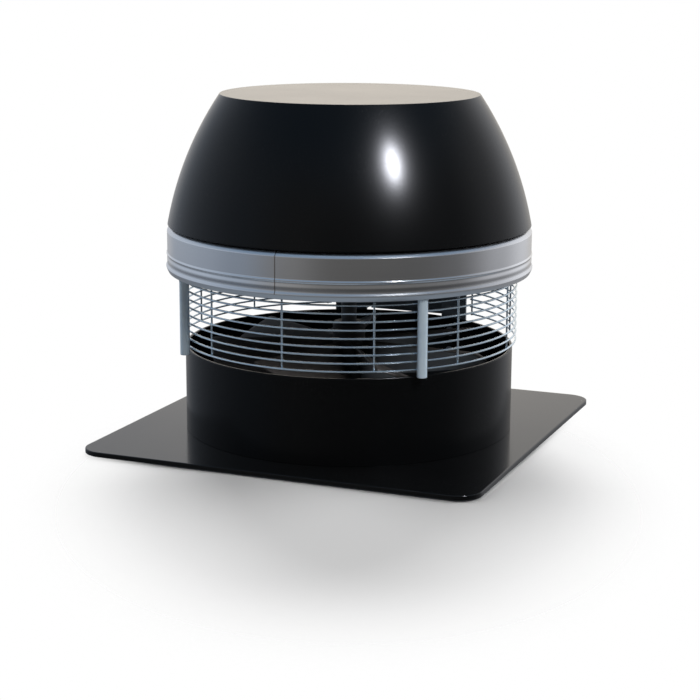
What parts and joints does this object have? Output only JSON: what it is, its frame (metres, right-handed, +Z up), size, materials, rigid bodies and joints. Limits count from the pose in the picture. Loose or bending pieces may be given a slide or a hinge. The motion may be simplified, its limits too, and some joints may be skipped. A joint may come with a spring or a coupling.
{
  "type": "chimney draught fan",
  "caption": "Chimney-top draught fan: square base plate, short inlet cylinder, and a hinged motor head with a bright band, black cowl, wire guard and axial impeller.",
  "frame": {"origin": "centre of the base plate's underside, on the fan's axis", "axes": "+Z up along the fan's axis, +Y towards the hinge, +X to the right seen from the seam side; the plate's sides lie along X and Y"},
  "size_m": [0.42, 0.42, 0.3526],
  "materials": {
    "black_paint": "gloss black paint on sheet steel",
    "hinge_steel": "dark grey satin paint",
    "band_metal": "satin rolled sheet",
    "zinc": "bright zinc plate",
    "fixings": "zinc-plated fixings",
    "seal_rubber": "matt black rubber",
    "deck_steel": "black paint on sheet steel",
    "motor_casting": "as-cast aluminium",
    "bearing_steel": "ground bearing steel",
    "core_steel": "stacked laminations",
    "winding": "varnished copper wire",
    "shaft_steel": "ground steel bar",
    "impeller_metal": "weathered cast aluminium",
    "grey_plastic": "moulded grey plastic",
    "black_plastic": "moulded black plastic"
  },
  "bodies": {
    "base": {"base_plate": "black_paint", "inlet_cylinder": "black_paint", "hinge_arm_left": "hinge_steel", "hinge_arm_right": "hinge_steel", "hinge_rivets": "fixings", "hinge_pin": "fixings", "pin_clip": "fixings", "stop_bar": "fixings"},
    "head": {"band": "band_metal", "cowl": "black_paint", "cowl_seal": "seal_rubber", "motor_deck": "deck_steel", "hinge_leaf": "hinge_steel", "hinge_leaf_screws": "fixings", "guard_rod_left": "zinc", "guard_rod_right": "zinc", "wire_guard": "zinc", "cowl_pillars": "fixings", "cowl_nuts": "fixings", "motor_flange": "motor_casting", "motor_bolts": "fixings", "motor_housing": "motor_casting", "motor_end_cap": "motor_casting", "bearing_lower": "bearing_steel", "bearing_upper": "bearing_steel", "stator_core": "core_steel", "stator_winding": "winding", "terminal_box": "grey_plastic", "terminal_lid": "grey_plastic", "capacitor": "grey_plastic", "cable_gland": "black_plastic"},
    "impeller": {"impeller": "impeller_metal", "shaft": "shaft_steel", "rotor_core": "core_steel", "shaft_slinger": "seal_rubber", "impeller_washer": "fixings", "impeller_nut": "fixings"}
  },
  "joints": [
    {"name": "head_tilt", "type": "hinge", "parent": "base", "child": "head", "pos_m": [0, 0.189, 0.112], "axis": [-1, 0, 0], "range_deg": [0, 90]},
    {"name": "impeller_spin", "type": "hinge", "parent": "head", "child": "impeller", "pos_m": [0, 0, 0.112], "axis": [0, 0, 1], "continuous": true}
  ]
}
